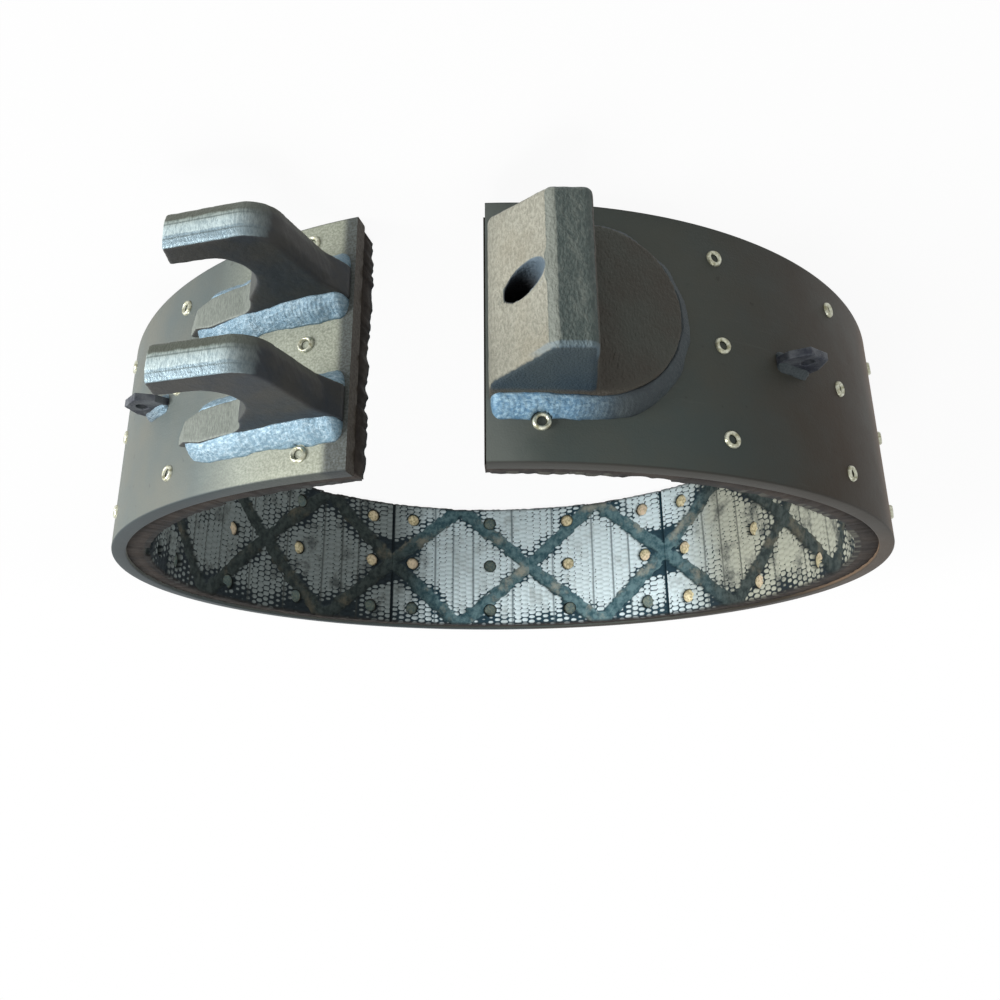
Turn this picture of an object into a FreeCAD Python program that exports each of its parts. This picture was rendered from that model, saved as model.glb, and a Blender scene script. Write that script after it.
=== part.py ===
import FreeCAD, Part
import math
import os

# Brake band of a contracting drum brake: an open steel strap with riveted woven lining,
# two cast hooks welded on one end, a cast anchor block on the other and two drilled ears.
# Millimetres. The origin lies on the drum axis at the middle of the width, +Z runs along
# the drum axis and the gap between the ends faces -Y. Angles are counted about +Z from -Y,
# positive towards +X. The hooks stand on the +X side of the gap, the anchor on the -X side.

# Drum, lining and strap
drum_radius = 230.0
lining_thickness = 13.0
lining_width = 120.0
strap_thickness = 8.0
strap_width = 124.0
end_gap = 59.0                  # straight distance between the strap's two ends, outside
lining_count = 5
lining_joint_gap = 0.4
lining_overhang_hook_end = 3.5  # the last lining stands out past the strap's end
lining_overhang_anchor_end = 1.0

# Diagonal grooves in the lining
groove_width = 12.0
groove_depth = 3.0
crossings_per_lining = 2        # one in the middle and one shared with the next lining

# Tubular rivets
rivet_columns = 4
rivet_end_margin = 21.0         # from a lining's end to its first column, on the drum face
rivet_row_spacing = 45.0
rivet_row_spacing_hook = 52.0   # the last column is spread to clear the hook welds
rivet_row_anchor = 44.0         # the one rivet left beside the anchor block
rivet_tail_radius = 3.7
rivet_tail_height = 1.4
rivet_head_recess_radius = 6.4
rivet_head_recess_depth = 6.0
rivet_round_sides = 8           # flats that stand for each small round of the rivet pattern

# Hooks
hook_width = 16.5
hook_spacing = 58.4             # between the middles of the two hooks
hook_middle = 2.6               # half way between the two hooks, along Z
hook_setback = 1.5              # from the strap's end to the hook's front face
hook_seat_radius = 13.0
hook_seat_height = 31.0         # centre of the seat above the strap
hook_seat_inset = 43.5          # centre of the seat behind the hook's front face
hook_arm_thickness = 12.0
hook_arm_length = 15.5          # straight part of the arm past the seat's centre
hook_front_thickness = 22.0     # metal in front of the seat
hook_shoulder_radius = 15.0
hook_foot_length = 97.0
hook_foot_thickness = 8.0
hook_foot_toe_thickness = 2.0
hook_foot_taper = 24.0
hook_toe_ramp = 13.0            # length over which the foot thins to its toe
hook_heel_back = 12.0           # from the seat's centre to the level part of the foot
hook_front_flare = 4.5          # the post leans this far forward at its base
hook_front_rise = 12.0
hook_arm_swell = 1.0            # rise of the arm towards its tip
hook_nose = 4.5                 # slant of the arm's end
hook_bevel_width = 5.0
hook_bevel_depth = 1.5

# Anchor block
block_low = -32.0               # face on the -Z side
block_high = 35.0
block_base_low = -44.5          # the -Z side spreads towards its base
block_setback = 1.5             # from the strap's end to the block's front
block_pad_height = 10.0
block_front_height = 16.0       # foot of the slanted face
block_ridge_back = 23.7         # from the front face to the ridge
block_ridge_height = 45.5
block_top_length = 17.2
block_top_drop = 1.4
block_back_lean = 4.0
pad_length = 82.0               # from the front face to the round end of the pad
block_edge_bevel = 2.0
bore_radius = 7.6
bore_back = 12.4                # from the block's front face to the bore's axis

# Drilled ears
ear_width = 22.0
ear_height = 15.0
ear_thickness = 4.0
ear_tip_width = 12.0
ear_hole_radius = 3.0
ear_hole_height = 8.5
ear_anchor_side_angle = -41.5
ear_hook_side_angle = 36.0
ear_anchor_side_z = 0.0
ear_hook_side_z = 5.0

# Weld beads
bead_leg = 8.0
bead_leg_hook = 7.5
bead_leg_ear = 3.0
pad_bead_steps = 6              # straight lengths of bead round the pad's end
bead_bulge = 0.12               # rise of a bead's face, as a share of its leg
rivet_notch_clearance = 0.3

# Worked out from the above
strap_inner = drum_radius + lining_thickness
strap_outer = strap_inner + strap_thickness
gap_half_angle = math.degrees(math.asin(end_gap / 2.0 / strap_outer))
strap_angle = 360.0 - 2.0 * gap_half_angle
lining_pitch = strap_angle / lining_count
AXIS = FreeCAD.Vector(0, 0, 1)
ORIGIN = FreeCAD.Vector(0, 0, 0)


def degrees_at(length, radius):
    """Angle that an arc of this length takes at this radius."""
    return math.degrees(length / radius)


def outward(angle):
    """Unit vector that points away from the axis at this angle."""
    a = math.radians(angle)
    return FreeCAD.Vector(math.sin(a), -math.cos(a), 0)


def along(angle):
    """Unit vector in the direction of a growing angle."""
    a = math.radians(angle)
    return FreeCAD.Vector(math.cos(a), math.sin(a), 0)


def polar(radius, angle, z=0.0):
    return outward(angle) * radius + FreeCAD.Vector(0, 0, z)


def band_angle(u):
    """Angle of a place that lies u degrees along the strap from its anchor end."""
    return -gap_half_angle - u


def ring_sector(inner, outer, low, high, start, end):
    """Ring of rectangular section from angle start to angle end."""
    a = polar(inner, start, low)
    b = polar(outer, start, low)
    c = polar(outer, start, high)
    d = polar(inner, start, high)
    face = Part.Face(Part.makePolygon([a, b, c, d, a]))
    return face.revolve(ORIGIN, AXIS, end - start)


def radial_cylinder(radius, inner, outer, angle, z):
    return Part.makeCylinder(radius, outer - inner, polar(inner, angle, z), outward(angle))


def radial_round(radius, inner, outer, angle, z):
    """Radial peg of many flats, from one distance from the axis to another."""
    points = []
    for i in range(rivet_round_sides + 1):
        a = 2 * math.pi * (i % rivet_round_sides + 0.5) / rivet_round_sides
        points.append(polar(inner, angle, z + radius * math.sin(a))
                      + along(angle) * (radius * math.cos(a)))
    return Part.Face(Part.makePolygon(points)).extrude(outward(angle) * (outer - inner))


class Seat:
    """Flat frame on the strap: s runs back from the gap, h outward from the strap."""

    def __init__(self, angle, back):
        self.angle = angle
        self.back = along(angle) * back
        self.up = outward(angle)

    def point(self, s, h, z=0.0):
        return self.back * s + self.up * (strap_outer + h) + FreeCAD.Vector(0, 0, z)

    def over(self, s, height, z=0.0):
        """Point that stands this high over the curved strap, s mm back along it."""
        a = s / strap_outer
        r = strap_outer + height
        return self.point(r * math.sin(a), r * math.cos(a) - strap_outer, z)

    def tangent(self, s):
        a = s / strap_outer
        return self.back * math.cos(a) - self.up * math.sin(a)


def line(a, b):
    return Part.makeLine(a, b)


def arc(a, b, c):
    return Part.Arc(a, b, c).toShape()


def prism(edges, low, high):
    """Closed outline drawn at z = 0, extruded from low to high."""
    face = Part.Face(Part.Wire(edges))
    solid = face.extrude(FreeCAD.Vector(0, 0, high - low))
    solid.translate(FreeCAD.Vector(0, 0, low))
    return solid


def loft_bead(sections):
    bead = Part.makeLoft([Part.makePolygon(s + [s[0]]) for s in sections], True, True)
    if bead.Volume < 0:
        bead.reverse()
    return bead


def bead_sections(seat, stations, leg, sink):
    """Sections of a fillet bead. A station is (s, z, ds, dz): a place on the foot's edge
    and the direction, along the strap and the width, in which the bead spreads."""
    half = leg * (0.5 + bead_bulge)
    outline = [(-sink, -sink), (leg, -sink), (leg, 0.0), (half, half), (0.0, leg), (-sink, leg)]
    sections = []
    for s, z, ds, dz in stations:
        foot = seat.over(s, 0.0, z)
        rise = seat.over(s, 1.0, z) - foot
        spread = seat.tangent(s) * ds + AXIS * dz
        spread.normalize()
        sections.append([foot + spread * x + rise * y for x, y in outline])
    return sections


solids = {}

# Steel strap, rolled to an open ring
steel_band = ring_sector(strap_inner, strap_outer, -strap_width / 2, strap_width / 2,
                         gap_half_angle, 360.0 - gap_half_angle)
solids["steel_band"] = steel_band
strap_core = Part.makeCylinder(strap_outer, 2 * strap_width, FreeCAD.Vector(0, 0, -strap_width))


def rivet_places():
    """(lining number, angle, z) of each rivet, from the anchor end round to the hooks."""
    places = []
    margin = degrees_at(rivet_end_margin, drum_radius)
    pitch = (lining_pitch - 2 * margin) / (rivet_columns - 1)
    for k in range(lining_count):
        for i in range(rivet_columns):
            angle = band_angle(k * lining_pitch + margin + i * pitch)
            rows = [-rivet_row_spacing, 0.0, rivet_row_spacing]
            if k == 0 and i == 0:
                rows = [rivet_row_anchor]
            if k == lining_count - 1 and i == rivet_columns - 1:
                rows = [-rivet_row_spacing_hook, 0.0, rivet_row_spacing_hook]
            places += [(k, angle, z) for z in rows]
    return places


rivets = rivet_places()


def groove_tools(centre, start, end):
    """The two crossed grooves about one crossing, kept to the angles of their lining."""
    quarter = math.radians(lining_pitch / crossings_per_lining / 2.0)
    rise = lining_width / 2.0
    run = drum_radius * math.sin(quarter)
    slope = math.degrees(math.atan2(rise, run))
    length = 3.0 * math.hypot(rise, run)
    ring = ring_sector(drum_radius - 1.0, drum_radius + groove_depth,
                       -lining_width, lining_width, start, end)
    tools = []
    for sign in (1, -1):
        bar = Part.makeBox(length, groove_width, 4 * lining_thickness,
                           FreeCAD.Vector(-length / 2, -groove_width / 2, -2 * lining_thickness))
        bar.rotate(ORIGIN, FreeCAD.Vector(0, 0, 1), sign * slope)
        bar.rotate(ORIGIN, FreeCAD.Vector(1, 0, 0), 90)
        bar.rotate(ORIGIN, AXIS, centre)
        bar.translate(outward(centre) * drum_radius)
        tools.append(bar.common(ring))
    return tools


# Woven lining, in segments that butt end to end, each grooved and counterbored
joint = degrees_at(lining_joint_gap / 2.0, drum_radius)
for k in range(lining_count):
    first = band_angle(k * lining_pitch) - joint
    last = band_angle((k + 1) * lining_pitch) + joint
    if k == 0:
        first = band_angle(0) + degrees_at(lining_overhang_anchor_end, strap_inner)
    if k == lining_count - 1:
        last = band_angle(strap_angle) - degrees_at(lining_overhang_hook_end, strap_inner)
    lining = ring_sector(drum_radius, strap_inner, -lining_width / 2, lining_width / 2, last, first)
    for c in range(crossings_per_lining + 1):
        centre = band_angle((k + c / crossings_per_lining) * lining_pitch)
        for tool in groove_tools(centre, last - 1, first + 1):
            lining = lining.cut(tool)
    recesses = [radial_round(rivet_head_recess_radius, drum_radius - 2.0,
                             drum_radius + rivet_head_recess_depth, angle, z)
                for number, angle, z in rivets if number == k]
    lining = lining.cut(Part.Compound(recesses))
    solids["lining_%d" % (k + 1)] = lining

# Rolled ends of the tubular rivets, seated on the strap, one group for each lining
for k in range(lining_count):
    group = []
    for number, angle, z in rivets:
        if number == k:
            group.append(radial_round(rivet_tail_radius, strap_outer,
                                      strap_outer + rivet_tail_height, angle, z))
    solids["rivets_%d" % (k + 1)] = Part.Compound(group)

# Hooks: a foot that follows the strap, a front post and an arm that curls back over a seat
hook_end = gap_half_angle + degrees_at(hook_setback, strap_outer)
hook_seat = Seat(hook_end, 1)


def hook_outline():
    point = hook_seat.point
    over = hook_seat.over
    seat_s = hook_seat_inset
    seat_h = hook_seat_height
    r = hook_seat_radius
    corner = math.sqrt(0.5)
    arm_low = seat_h + r
    arm_high = arm_low + hook_arm_thickness
    tip = seat_s + hook_arm_length
    post = seat_s - r - hook_front_thickness
    shoulder = hook_shoulder_radius
    level_start = seat_s + hook_heel_back
    level_end = hook_foot_length - hook_toe_ramp
    level = over(level_start, hook_foot_thickness)
    ramp = over(level_end, hook_foot_thickness)
    toe = over(hook_foot_length, hook_foot_toe_thickness)
    toe_low = over(hook_foot_length, -3.0)
    front_low = point(0, -6.0)
    front_mid = point(0, 3.5)
    post_low = point(post - hook_front_flare, hook_front_rise)
    post_high = point(post, arm_high - shoulder)
    bend = point(post + shoulder * (1 - corner), arm_high - shoulder * (1 - corner))
    arm_start = point(post + shoulder, arm_high)
    arm_end = point(tip + hook_arm_swell - hook_nose, arm_high + hook_arm_swell)
    nose_low = point(tip + hook_arm_swell, arm_low + hook_arm_swell)
    seat_top = point(seat_s, arm_low)
    seat_mid = point(seat_s - r, seat_h)
    seat_low = point(seat_s - r * corner, seat_h - r * corner)
    slope_end = point(seat_s - r * corner + 9.0, seat_h - r * corner - 9.0)
    heel = over(seat_s + 2.5, hook_foot_thickness + 2.3)
    return [line(front_low, front_mid), line(front_mid, post_low), line(post_low, post_high),
            arc(post_high, bend, arm_start), line(arm_start, arm_end), line(arm_end, nose_low),
            line(nose_low, seat_top), arc(seat_top, seat_mid, seat_low),
            line(seat_low, slope_end), arc(slope_end, heel, level),
            arc(level, over((level_start + level_end) / 2, hook_foot_thickness), ramp),
            line(ramp, toe), line(toe, toe_low), line(toe_low, front_low)]


def toe_cutter(side):
    """Wedge that narrows the foot towards its toe, on one side."""
    start = hook_foot_length - hook_foot_taper
    a = hook_seat.over(start, -8.0, side * hook_width / 2)
    b = hook_seat.over(hook_foot_length + 3.0, -8.0, side * 2.0)
    c = hook_seat.over(hook_foot_length + 3.0, -8.0, side * hook_width)
    face = Part.Face(Part.makePolygon([a, b, c, a]))
    return face.extrude(outward(hook_seat.angle + degrees_at(start, strap_outer)) * 30.0)


def bevel_edges(shape):
    """Edges along the post, shoulder and arm, on both sides of the hook."""
    found = []
    for edge in shape.Edges:
        box = edge.BoundBox
        if box.ZLength > 0.01:
            continue
        mid = edge.valueAt((edge.FirstParameter + edge.LastParameter) / 2)
        rel = mid - outward(hook_seat.angle) * strap_outer
        s = rel.dot(hook_seat.back)
        h = rel.dot(hook_seat.up)
        post = hook_seat_inset - hook_seat_radius - hook_front_thickness
        arm_top = hook_seat_height + hook_seat_radius + hook_arm_thickness
        outer_arm = h > arm_top - 4.0 and s < hook_seat_inset + hook_arm_length - 2.0
        outer_post = s < post + 6.0 and h > hook_front_rise
        if outer_arm or outer_post:
            found.append(edge)
    return found


hook = prism(hook_outline(), -hook_width / 2, hook_width / 2)
hook = hook.cut(strap_core)
for side in (1, -1):
    hook = hook.cut(toe_cutter(side))
hook = hook.makeChamfer(hook_bevel_depth, hook_bevel_width, bevel_edges(hook))
hook = hook.removeSplitter()

hooks = {"hook_upper": hook_middle + hook_spacing / 2,
         "hook_lower": hook_middle - hook_spacing / 2}
for name, z in hooks.items():
    part = hook.copy()
    part.translate(FreeCAD.Vector(0, 0, z))
    solids[name] = part

# Anchor block with its pad, cast in one piece
anchor_end = -gap_half_angle - degrees_at(block_setback, strap_outer)
block_seat = Seat(anchor_end, -1)
pad_radius = (block_high - block_base_low) / 2.0
pad_middle = (block_high + block_base_low) / 2.0
pad_round_start = pad_length - pad_radius


def pad_solid():
    """Plate that follows the strap, with a half-round back end."""
    centre = anchor_end - degrees_at(pad_round_start, strap_outer)
    front = 1.2 * pad_length
    plate = Part.makeBox(front, 2 * pad_radius, 60.0, FreeCAD.Vector(0, -pad_radius, -30.0))
    plate = plate.fuse(Part.makeCylinder(pad_radius, 60.0, FreeCAD.Vector(0, 0, -30.0)))
    plate.rotate(ORIGIN, FreeCAD.Vector(1, 0, 0), 90)
    plate.rotate(ORIGIN, AXIS, centre)
    plate.translate(outward(centre) * strap_outer + FreeCAD.Vector(0, 0, pad_middle))
    shell = ring_sector(strap_outer, strap_outer + block_pad_height, -strap_width, strap_width,
                        centre - 20.0, anchor_end)
    return plate.common(shell)


def block_outline():
    point = block_seat.point
    back = block_ridge_back + block_top_length
    top = block_ridge_height - block_top_drop
    pts = [point(0, -6.0), point(0, block_front_height), point(block_ridge_back, block_ridge_height),
           point(back, top), point(back + block_back_lean, -6.0)]
    return [line(a, b) for a, b in zip(pts, pts[1:] + pts[:1])]


def flare_cutter():
    """Takes the -Z side back to a face that leans out towards the base."""
    point = block_seat.point
    far = -3 * block_base_low
    a = point(-5.0, block_pad_height, block_base_low)
    b = point(-5.0, block_ridge_height + 6.0, block_low)
    c = point(-5.0, block_ridge_height + 6.0, -far)
    d = point(-5.0, block_pad_height, -far)
    face = Part.Face(Part.makePolygon([a, b, c, d, a]))
    return face.extrude(block_seat.back * (pad_length + 20.0))


block = prism(block_outline(), block_base_low, block_high)
block = block.cut(flare_cutter())
block = block.cut(strap_core)
bevelled = []
for edge in block.Edges:
    mid = edge.valueAt((edge.FirstParameter + edge.LastParameter) / 2)
    rel = mid - outward(block_seat.angle) * strap_outer
    if rel.dot(block_seat.up) > block_pad_height + 2.0:
        bevelled.append(edge)
block = block.makeChamfer(block_edge_bevel, bevelled)
block = block.fuse(pad_solid())
bore_angle = anchor_end - degrees_at(bore_back, strap_outer)
block = block.cut(radial_cylinder(bore_radius, strap_outer - 1.0, strap_outer + 80.0, bore_angle, 0))
block = block.removeSplitter()
solids["anchor_block"] = block


def ear(angle, z):
    """Small plate that stands out from the strap, with one hole along Z."""
    seat = Seat(angle, 1)
    point = seat.point
    w = ear_width / 2.0
    t = ear_tip_width / 2.0
    low = -3.0
    knee = ear_height * 0.45
    pts = [point(-w, low), point(-w, knee), point(-t, ear_height), point(t, ear_height),
           point(w, knee), point(w, low)]
    edges = [line(a, b) for a, b in zip(pts, pts[1:] + pts[:1])]
    plate = prism(edges, z - ear_thickness / 2, z + ear_thickness / 2)
    hole = Part.makeCylinder(ear_hole_radius, 2 * ear_thickness,
                             point(0, ear_hole_height, z - ear_thickness))
    return plate.cut(strap_core).cut(hole), seat


ears = {"ear_anchor_side": (ear_anchor_side_angle, ear_anchor_side_z),
        "ear_hook_side": (ear_hook_side_angle, ear_hook_side_z)}


# Weld beads, each laid against the strap and the foot of one welded piece
def hook_bead(z):
    sections = []
    taper = hook_foot_length - hook_foot_taper
    w = hook_width / 2
    stations = [(1.0, w, 0, 1), (taper * 0.5, w, 0, 1), (taper, w, 0.05, 1.0),
                (taper + hook_foot_taper * 0.55, w * 0.55, 0.3, 0.9)]
    beads = []
    for side in (1, -1):
        run = [(s, z + side * zz, ds, side * dz) for s, zz, ds, dz in stations]
        beads.append(loft_bead(bead_sections(hook_seat, run, bead_leg_hook, 2.0)))
    return beads


def pad_bead():
    stations = [(0.5, block_high, 0, 1), (pad_round_start * 0.5, block_high, 0, 1)]
    for i in range(pad_bead_steps + 1):
        a = math.pi * i / pad_bead_steps
        stations.append((pad_round_start + pad_radius * math.sin(a),
                         pad_middle + pad_radius * math.cos(a), math.sin(a), math.cos(a)))
    stations += [(pad_round_start * 0.5, block_base_low, 0, -1), (0.5, block_base_low, 0, -1)]
    return loft_bead(bead_sections(block_seat, stations, bead_leg, 2.0))


notches = [radial_cylinder(rivet_tail_radius + rivet_notch_clearance,
                           strap_outer - 5.0, strap_outer + 15.0, angle, z)
           for number, angle, z in rivets]


outside = ring_sector(strap_outer, strap_outer + 40.0, -strap_width / 2, strap_width / 2,
                      -90.0, 90.0)


def trimmed(bead, piece):
    """Bead without what lies inside the strap, the welded piece or a rivet's place."""
    bead = bead.common(outside).cut(piece)
    near = [notch for notch in notches if notch.BoundBox.intersect(bead.BoundBox)]
    if near:
        bead = bead.cut(Part.Compound(near))
    return bead


for name, z in hooks.items():
    runs = [trimmed(b, solids[name]) for b in hook_bead(z)]
    solids["weld_" + name] = Part.Compound(runs)

solids["weld_anchor_block"] = trimmed(pad_bead(), block)

for name, (angle, z) in ears.items():
    plate, seat = ear(angle, z)
    solids[name] = plate
    w = ear_width / 2.0
    t = ear_thickness / 2.0
    beads = []
    for side in (1, -1):
        run = [(s, z + side * t, 0, side) for s in (-w, 0.0, w)]
        beads.append(trimmed(loft_bead(bead_sections(seat, run, bead_leg_ear, 1.0)), plate))
    solids["weld_" + name] = Part.Compound(beads)

os.makedirs("parts", exist_ok=True)
for name, shape in solids.items():
    shape.exportStep("parts/%s.step" % name)
    print(name, len(shape.Solids), shape.isValid(), round(shape.Volume, 1))
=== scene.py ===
import math

import bpy
import numpy as np
from mathutils import Matrix, Vector


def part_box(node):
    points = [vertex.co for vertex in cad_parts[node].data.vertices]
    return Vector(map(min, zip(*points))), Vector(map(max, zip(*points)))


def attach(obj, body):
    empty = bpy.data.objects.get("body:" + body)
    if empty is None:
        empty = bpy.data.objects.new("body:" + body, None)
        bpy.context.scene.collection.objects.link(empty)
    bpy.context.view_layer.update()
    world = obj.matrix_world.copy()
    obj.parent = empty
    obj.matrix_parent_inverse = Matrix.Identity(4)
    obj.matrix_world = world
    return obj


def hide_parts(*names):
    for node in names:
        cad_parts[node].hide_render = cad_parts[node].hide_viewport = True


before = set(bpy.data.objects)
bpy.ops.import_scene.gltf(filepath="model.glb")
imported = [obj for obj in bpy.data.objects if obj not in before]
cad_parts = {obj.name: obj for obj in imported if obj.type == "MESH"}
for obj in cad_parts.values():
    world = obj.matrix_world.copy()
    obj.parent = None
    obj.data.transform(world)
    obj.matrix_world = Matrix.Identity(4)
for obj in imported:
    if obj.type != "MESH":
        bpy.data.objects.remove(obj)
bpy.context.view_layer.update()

# Strap: flat bar rolled to an open ring and sheared at its ends. Mill scale and old primer keep it
# dark on the anchor's side; the hooks' side is lighter grey, partly rubbed and partly painted light.
# Lengths are metres; angles run about Z from the gap, positive towards the hooks.
EDGE_ROUND = 0.0009
EDGE_STEPS = 4
STRAP_STATIONS = 420
DARK_STRIP_WIDER_LOW = 1.1


def corners_of(node):
    """Reach from the drum's axis and turn from the gap of a CAD node's corners."""
    x, y = np.array([corner.co[:2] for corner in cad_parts[node].data.vertices]).T
    return np.hypot(x, y), np.abs(np.arctan2(x, -y))


strap_reach, strap_turn = corners_of("steel_band")
STRAP_IN, STRAP_OUT = strap_reach.min(), strap_reach.max()
STRAP_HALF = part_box("steel_band")[1][2]
GAP = strap_turn.min()


class Wire:
    """An output of a material's node tree, for use in plain expressions."""

    def __init__(self, tree, socket=None):
        self.tree = tree
        self.socket = socket

    def node(self, kind, settings=None, values=None, out=0):
        """A new node of this tree, its settings made first, then its sockets' values or links."""
        made = self.tree.nodes.new(kind)
        for name, value in (settings or {}).items():
            setattr(made, name, value)
        for name, value in (values or {}).items():
            if isinstance(value, Wire):
                self.tree.links.new(value.socket, made.inputs[name])
            else:
                made.inputs[name].default_value = value
        return Wire(self.tree, made.outputs[out])

    def math(self, operation, *terms):
        return self.node("ShaderNodeMath", {"operation": operation}, dict(enumerate(terms)))

    def __add__(self, other):
        return self.math("ADD", self, other)

    def __radd__(self, other):
        return self.math("ADD", other, self)

    def __sub__(self, other):
        return self.math("SUBTRACT", self, other)

    def __rsub__(self, other):
        return self.math("SUBTRACT", other, self)

    def __mul__(self, other):
        return self.math("MULTIPLY", self, other)

    def __rmul__(self, other):
        return self.math("MULTIPLY", other, self)

    def step(self, low, high):
        """0 below low, 1 above high, smooth between; falling where low is above high."""
        return self.node("ShaderNodeMapRange", {"interpolation_type": "SMOOTHSTEP"},
                         {0: self, 1: low, 2: high, 3: 0.0, 4: 1.0})

    def near(self, middle, half, soft):
        """1 within half of a middle value, falling to 0 over soft."""
        return self.math("ABSOLUTE", self - middle).step(half + soft, half)

    def mix(self, first, second):
        """Colour between two, by this mask."""
        return self.node("ShaderNodeMix", {"data_type": "RGBA"}, {0: self, 6: first, 7: second}, 2)

    def noise(self, scale, detail=3.0, rough=0.5, stretch=(1.0, 1.0, 1.0)):
        """Noise over this vector, about 0.5 in the middle."""
        place = self.node("ShaderNodeVectorMath", {"operation": "MULTIPLY"}, {0: self, 1: stretch})
        return self.node("ShaderNodeTexNoise", {}, {"Vector": place, "Scale": scale,
                                                    "Detail": detail, "Roughness": rough})

    def tones(self, low, high, first, second):
        """Colour that goes from first to second as this value rises from low to high."""
        return self.step(low, high).mix(first, second)

    def parts(self, kind="ShaderNodeSeparateXYZ"):
        """The three numbers of a vector, or of a colour with its own kind of node."""
        split = self.node(kind, {}, {0: self}).socket.node
        return [Wire(self.tree, socket) for socket in split.outputs]


def colour(red, green, painted_blue_reflection):
    """Colour of a paint chip, given as it looks on a screen from 0 to 255."""
    return tuple((v / 255.0) ** 2.2 for v in (red, green, painted_blue_reflection)) + (1.0,)


class Finish:
    """A surface finish, with the places of its points and the way that they face.

    sheet is the strap rolled flat: arc, z and reach. Of the facing, side is the share along Z,
    out the share away from the drum's axis and round the share along the strap.
    """

    def __init__(self, name, specular):
        self.made = bpy.data.materials.new(name)
        self.made.use_nodes = True
        tree = self.made.node_tree
        self.shader = tree.nodes["Principled BSDF"]
        self.shader.inputs["Specular IOR Level"].default_value = specular
        self.start = Wire(tree)
        self.place = self.start.node("ShaderNodeTexCoord", out=3)
        self.facing = self.start.node("ShaderNodeTexCoord", out=1)
        x, y, z = self.place.parts()
        self.z = z
        self.angle = self.start.math("ARCTAN2", x, 0.0 - y)
        self.angle_deg = self.angle * math.degrees(1.0)
        self.reach = self.start.math("SQRT", x * x + y * y)
        arc = self.angle * STRAP_OUT
        self.sheet = self.start.node("ShaderNodeCombineXYZ", {}, {0: arc, 1: z, 2: self.reach})
        nx, ny, nz = self.facing.parts()
        self.side = nz
        self.out = (nx * x + ny * y) * (1.0 / STRAP_OUT)
        self.round = (nx * (0.0 - y) + ny * x) * (1.0 / STRAP_OUT)

    def lay(self, base, rough, metal, height, depth):
        """Feed the shader, with a bump of this depth from the height."""
        for name, value in (("Base Color", base), ("Roughness", rough), ("Metallic", metal)):
            if isinstance(value, Wire):
                self.start.tree.links.new(value.socket, self.shader.inputs[name])
            else:
                self.shader.inputs[name].default_value = value
        bump = self.start.node("ShaderNodeBump", {}, {"Strength": 1.0, "Distance": depth,
                                                      "Height": height})
        self.start.tree.links.new(bump.socket, self.shader.inputs["Normal"])
        return self.made


def strap_finish():
    f = Finish("rolled_strap", 0.18)
    blotch = f.sheet.noise(14.0, 5.0, 0.6)
    fine = f.sheet.noise(900.0, 3.0, 0.6)
    scuff = f.sheet.noise(60.0, 6.0, 0.7, (0.25, 3.0, 1.0))
    drawn = f.angle_deg + (blotch - 0.5) * 14.0
    # Painted light: the hooks' side, towards the side lamp, is painted lighter as well as rubbed grey.
    lit_and_rubbed_side = drawn.step(-3.0, 11.0) * drawn.step(168.0, 120.0)
    dark = blotch.tones(0.3, 0.7, colour(70, 79, 77), colour(79, 82, 76))
    brown = f.angle_deg.step(-22.0, -50.0) * f.angle_deg.step(-172.0, -125.0)
    dark = brown.mix(dark, blotch.tones(0.25, 0.65, colour(57, 57, 51), colour(58, 50, 41)))
    light = blotch.tones(0.3, 0.7, colour(88, 97, 96), colour(103, 105, 98))
    base = lit_and_rubbed_side.mix(dark, light)
    # Cream grainy skin near the hooks, also painted brighter as a highlight there.
    sand_and_highlight = drawn.step(26.0, 12.0) * drawn.step(-4.0, 6.0)
    base = (sand_and_highlight * 0.8).mix(base, fine.tones(0.35, 0.65, colour(146, 150, 134), colour(176, 180, 164)))
    end_tint = drawn.step(-14.0, -7.0) * drawn.step(4.0, 0.0)
    base = (end_tint * 0.6).mix(base, colour(106, 112, 108))
    streak = scuff.step(0.6, 0.8)
    base = (streak * 0.18).mix(base, colour(120, 124, 120))
    speck = f.sheet.noise(160.0, 2.0, 0.5).step(0.7, 0.76)
    base = (speck * 0.35).mix(base, colour(42, 42, 38))
    # A darker strip at the strap's end by the hooks, wider towards high z.
    past_dark_end_strip = f.angle_deg - f.z.step(0.018, 0.042) * DARK_STRIP_WIDER_LOW
    dark_end_strip = past_dark_end_strip.step(8.7, 7.6) * f.angle_deg.step(6.2, 6.5)
    base = (dark_end_strip * 0.85).mix(base, fine.tones(0.35, 0.65, colour(56, 58, 58), colour(72, 78, 82)))
    # Painted reflection: a warm brown sheen on the anchor's side, about a quarter turn from the gap.
    painted_warm_reflection = f.angle_deg.step(-60.0, -74.0) * f.angle_deg.step(-120.0, -95.0)
    base = (painted_warm_reflection * 0.6).mix(base, colour(150, 126, 104))
    rim = f.z.math("ABSOLUTE", f.z).step(STRAP_HALF - 0.0012, STRAP_HALF - 0.0003)
    edge = f.angle_deg.tones(-20.0, 30.0, colour(54, 52, 48), colour(50, 58, 62))
    base = (rim * 0.85).mix(base, edge)
    end_face = f.round.math("ABSOLUTE", f.round).step(0.6, 0.85)
    base = (end_face * 0.9).mix(base, fine.tones(0.35, 0.65, colour(56, 49, 42), colour(72, 66, 58)))
    height = fine * 0.5 + f.sheet.noise(260.0, 3.0, 0.6) * (0.4 + sand_and_highlight * 1.2) + scuff * 0.5
    rough = 0.58 + (blotch - 0.5) * 0.25 + streak * 0.1
    return f.lay(base, rough, lit_and_rubbed_side * 0.2 + 0.05, height, 0.00022)


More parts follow.
